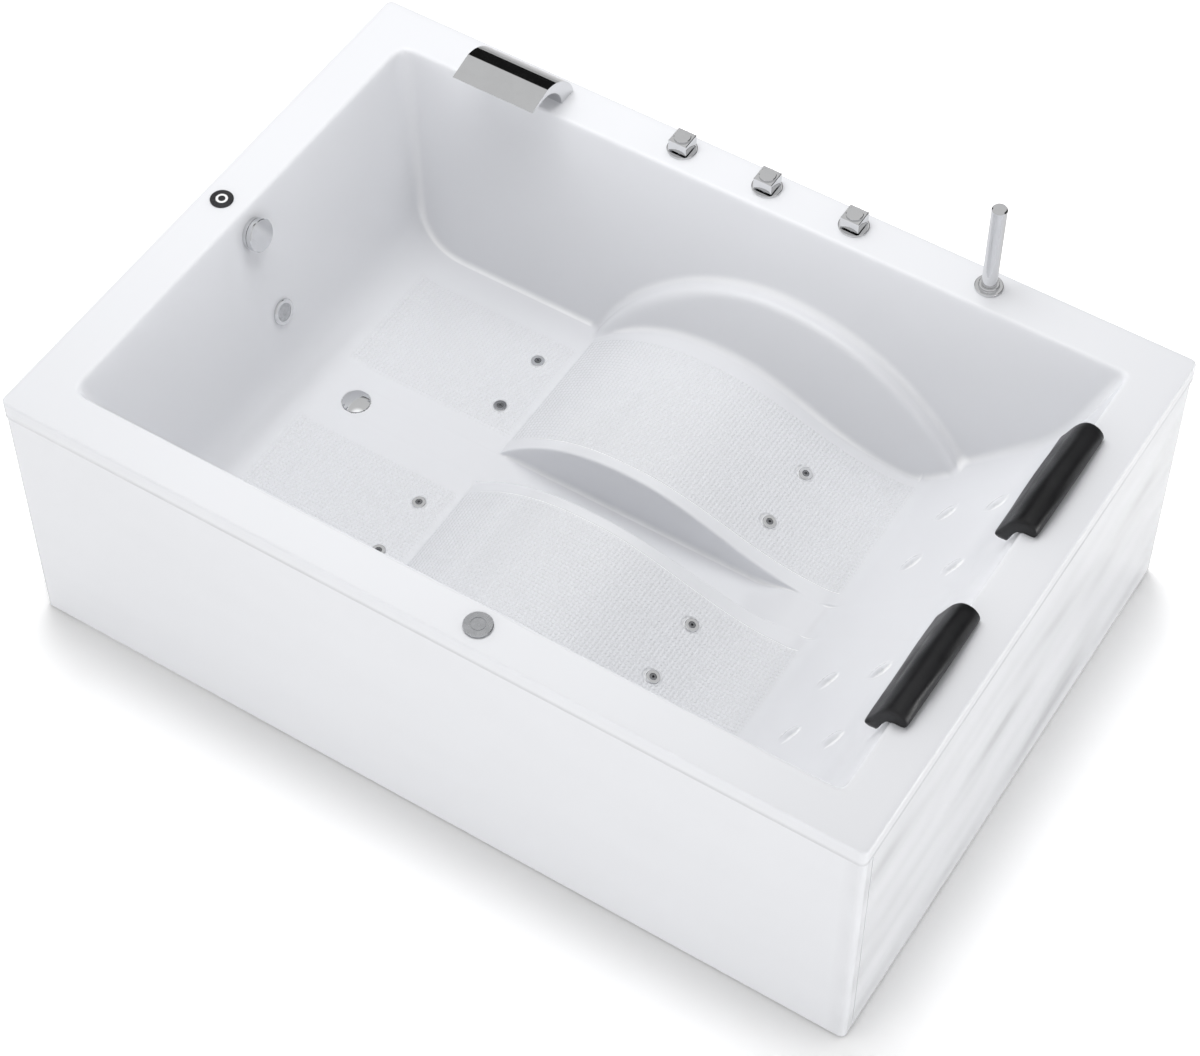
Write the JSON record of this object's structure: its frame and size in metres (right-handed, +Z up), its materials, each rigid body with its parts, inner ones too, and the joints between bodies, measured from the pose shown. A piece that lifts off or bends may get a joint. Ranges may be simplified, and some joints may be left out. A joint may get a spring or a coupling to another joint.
{
  "type": "jetted bathtub",
  "caption": "Two-person rectangular jetted bathtub with side-by-side lounges, headrest pillows, waterfall spout, deck valves, hand shower and corner aprons over a framed plumbing bay.",
  "frame": {"origin": "on the ground, below the middle of the tub's overall box", "axes": "+X along the tub from the foot end to the head end with the pillows, +Y from the apron side to the wall side with the valves, +Z up"},
  "size_m": [1.8, 1.245, 0.84],
  "materials": {
    "acrylic": "high gloss, with a raised dot texture on the foot well and the seats",
    "apron_acrylic": "high gloss",
    "board": "sanded plywood",
    "frame_steel": "satin powder coat",
    "zinc_steel": "zinc plated",
    "foot_plastic": "matt",
    "pillow_skin": "glossy smooth synthetic skin",
    "chrome": "polished",
    "satin_metal": "satin",
    "brass": "cast and turned",
    "copper": "drawn copper",
    "pipe_plastic": "satin",
    "cable_skin": "matt",
    "black_plastic": "gloss",
    "white_plastic": "gloss",
    "lens_plastic": "frosted",
    "motor_paint": "satin enamel",
    "box_plastic": "satin",
    "jet_plastic": "plated"
  },
  "bodies": {
    "tub": {"tub_shell": "acrylic", "base_board": "board", "seat_battens": "board", "cradle_rails": "frame_steel", "cross_tubes": "frame_steel", "rim_posts": "frame_steel", "leveling_feet": "foot_plastic", "apron_front": "apron_acrylic", "apron_side": "apron_acrylic", "apron_clips": "zinc_steel", "pillow_back": "pillow_skin", "pillow_front": "pillow_skin", "waterfall_spout": "chrome", "deck_nuts": "brass", "valve_escutcheons": "chrome", "valve_bodies": "brass", "mixer_pipe": "copper", "spout_pipe": "copper", "shower_pipe": "copper", "shower_holder": "chrome", "hose_sleeve": "pipe_plastic", "overflow_ring": "chrome", "overflow_body": "pipe_plastic", "overflow_pipe": "pipe_plastic", "pull_cable": "cable_skin", "drain_flange": "chrome", "drain_body": "pipe_plastic", "waste_trap": "pipe_plastic", "start_bezel": "black_plastic", "air_body": "pipe_plastic", "air_pipe": "pipe_plastic", "light_bezel": "chrome", "light_lens": "lens_plastic", "suction_grille": "chrome", "suction_pipe": "pipe_plastic", "pump_wet_end": "black_plastic", "pump_motor": "motor_paint", "pump_tray": "board", "supply_pipe": "pipe_plastic", "control_box": "box_plastic", "jet_bodies": "pipe_plastic", "jet_rings": "chrome"},
    "hot_valve": {"hot_handle": "chrome"},
    "cold_valve": {"cold_handle": "chrome"},
    "diverter": {"diverter_handle": "chrome"},
    "shower": {"hand_shower": "chrome"},
    "overflow": {"overflow_knob": "chrome"},
    "plug": {"drain_plug": "chrome"},
    "start": {"start_button": "black_plastic", "start_ring": "white_plastic"},
    "air_control": {"air_knob": "satin_metal"},
    "foot_jet_1_body": {"foot_jet_1": "jet_plastic"},
    "foot_jet_2_body": {"foot_jet_2": "jet_plastic"},
    "foot_jet_3_body": {"foot_jet_3": "jet_plastic"},
    "foot_jet_4_body": {"foot_jet_4": "jet_plastic"},
    "seat_jet_1_body": {"seat_jet_1": "jet_plastic"},
    "seat_jet_2_body": {"seat_jet_2": "jet_plastic"},
    "seat_jet_3_body": {"seat_jet_3": "jet_plastic"},
    "seat_jet_4_body": {"seat_jet_4": "jet_plastic"}
  },
  "joints": [
    {"name": "hot_turn", "type": "hinge", "parent": "tub", "child": "hot_valve", "pos_m": [-0.181, 0.5795, 0.627], "axis": [0, 0, 1], "range_deg": [0, 90]},
    {"name": "cold_turn", "type": "hinge", "parent": "tub", "child": "cold_valve", "pos_m": [0.0095, 0.5795, 0.627], "axis": [0, 0, 1], "range_deg": [-90, 0]},
    {"name": "diverter_turn", "type": "hinge", "parent": "tub", "child": "diverter", "pos_m": [0.2, 0.5795, 0.627], "axis": [0, 0, 1], "range_deg": [0, 180]},
    {"name": "shower_lift", "type": "slide", "parent": "tub", "child": "shower", "axis": [0, 0, 1], "range_m": [0, 0.15]},
    {"name": "overflow_turn", "type": "hinge", "parent": "tub", "child": "overflow", "pos_m": [-0.78762, -0.004, 0.571], "axis": [0.9686, 0, 0.2487], "range_deg": [0, 90]},
    {"name": "plug_lift", "type": "slide", "parent": "tub", "child": "plug", "axis": [0, 0, 1], "range_m": [0, 0.00786]},
    {"name": "start_press", "type": "slide", "parent": "tub", "child": "start", "axis": [0, 0, -1], "range_m": [0, 0.002], "stiffness_N_per_m": 300, "springref_m": -0.001},
    {"name": "air_turn", "type": "hinge", "parent": "tub", "child": "air_control", "pos_m": [0.112, -0.5765, 0.627], "axis": [0, 0, 1], "range_deg": [0, 180]},
    {"name": "foot_jet_1_tilt", "type": "hinge", "parent": "tub", "child": "foot_jet_1_body", "pos_m": [-0.32602, 0.27699, 0.1994], "axis": [1, 0, 0], "range_deg": [-10, 10]},
    {"name": "foot_jet_2_tilt", "type": "hinge", "parent": "tub", "child": "foot_jet_2_body", "pos_m": [-0.32602, 0.139, 0.1994], "axis": [1, 0, 0], "range_deg": [-10, 10]},
    {"name": "foot_jet_3_tilt", "type": "hinge", "parent": "tub", "child": "foot_jet_3_body", "pos_m": [-0.32602, -0.147, 0.1994], "axis": [1, 0, 0], "range_deg": [-10, 10]},
    {"name": "foot_jet_4_tilt", "type": "hinge", "parent": "tub", "child": "foot_jet_4_body", "pos_m": [-0.32602, -0.28499, 0.1994], "axis": [1, 0, 0], "range_deg": [-10, 10]},
    {"name": "seat_jet_1_tilt", "type": "hinge", "parent": "tub", "child": "seat_jet_1_body", "pos_m": [0.28938, 0.27699, 0.25018], "axis": [0.9612, 0, -0.2758], "range_deg": [-10, 10]},
    {"name": "seat_jet_2_tilt", "type": "hinge", "parent": "tub", "child": "seat_jet_2_body", "pos_m": [0.28938, 0.139, 0.25018], "axis": [0.9612, 0, -0.2758], "range_deg": [-10, 10]},
    {"name": "seat_jet_3_tilt", "type": "hinge", "parent": "tub", "child": "seat_jet_3_body", "pos_m": [0.28938, -0.147, 0.25018], "axis": [0.9612, 0, -0.2758], "range_deg": [-10, 10]},
    {"name": "seat_jet_4_tilt", "type": "hinge", "parent": "tub", "child": "seat_jet_4_body", "pos_m": [0.28938, -0.28499, 0.25018], "axis": [0.9612, 0, -0.2758], "range_deg": [-10, 10]}
  ],
  "couplings": [
    {"joint": "plug_lift", "follows": "overflow_turn", "m_per_rad": 0.005}
  ]
}
